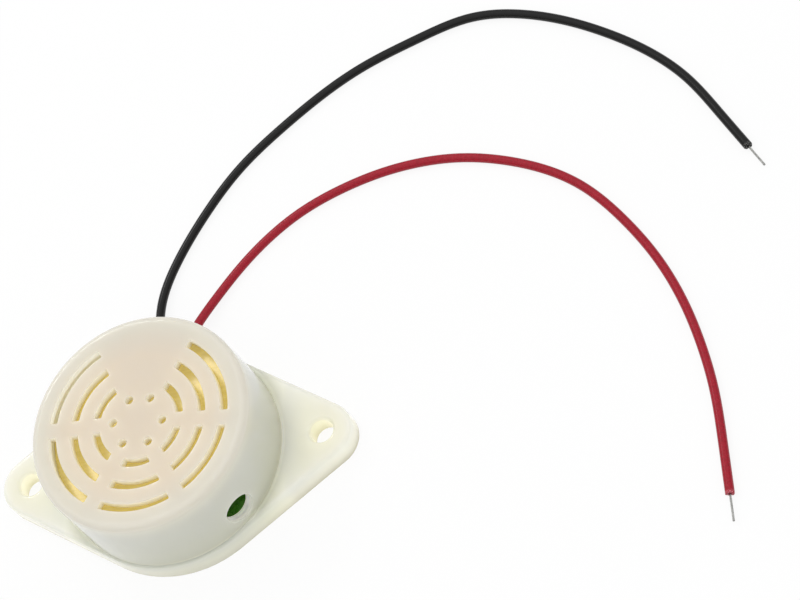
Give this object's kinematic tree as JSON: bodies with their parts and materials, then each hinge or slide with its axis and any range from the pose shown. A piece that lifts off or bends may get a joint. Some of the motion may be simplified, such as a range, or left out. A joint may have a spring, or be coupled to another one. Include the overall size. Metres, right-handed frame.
{
  "type": "electronic buzzer",
  "caption": "Round ivory plastic buzzer with a slotted sound face over a brass diaphragm, a flange with screw ears, and a red and a black lead wire with bare ends.",
  "frame": {"origin": "centre of the flat back face", "axes": "+Z along the sound axis, out of the slotted face; X along the line of the ears"},
  "size_m": [0.1027, 0.0784, 0.0145],
  "materials": {
    "ivory_plastic": "glossy moulded, slightly translucent",
    "cover_plastic": "satin moulded",
    "brass": "bright rolled",
    "adhesive": "cured silicone",
    "ceramic": "fired",
    "silver": "printed silver",
    "board": "solder mask",
    "copper": "etched copper",
    "solder": "bright solder",
    "black_moulding": "moulded epoxy",
    "tinned": "tinned copper",
    "ferrite": "sintered",
    "winding": "enamelled copper wire",
    "resistor": "lacquered",
    "hookup": "thin insulated wire",
    "black_pvc": "smooth insulation",
    "red_pvc": "smooth insulation"
  },
  "bodies": {
    "root": {"front_housing": "ivory_plastic", "back_cover": "cover_plastic", "diaphragm_plate": "brass", "diaphragm_adhesive": "adhesive", "piezo_ceramic": "ceramic", "main_electrode": "silver", "feedback_electrode": "silver", "circuit_board": "board", "copper_pads": "copper", "board_solder": "solder", "transistor_body": "black_moulding", "transistor_leads": "tinned", "coil_core": "ferrite", "coil_winding": "winding", "coil_pins": "tinned", "resistor_bodies": "resistor", "resistor_leads": "tinned", "ground_lead": "hookup", "main_lead": "hookup", "feedback_lead": "hookup", "diaphragm_solder": "solder", "black_inner_end": "tinned", "red_inner_end": "tinned", "black_wire": "black_pvc", "red_wire": "red_pvc", "black_bare_end": "tinned", "red_bare_end": "tinned"}
  },
  "joints": []
}
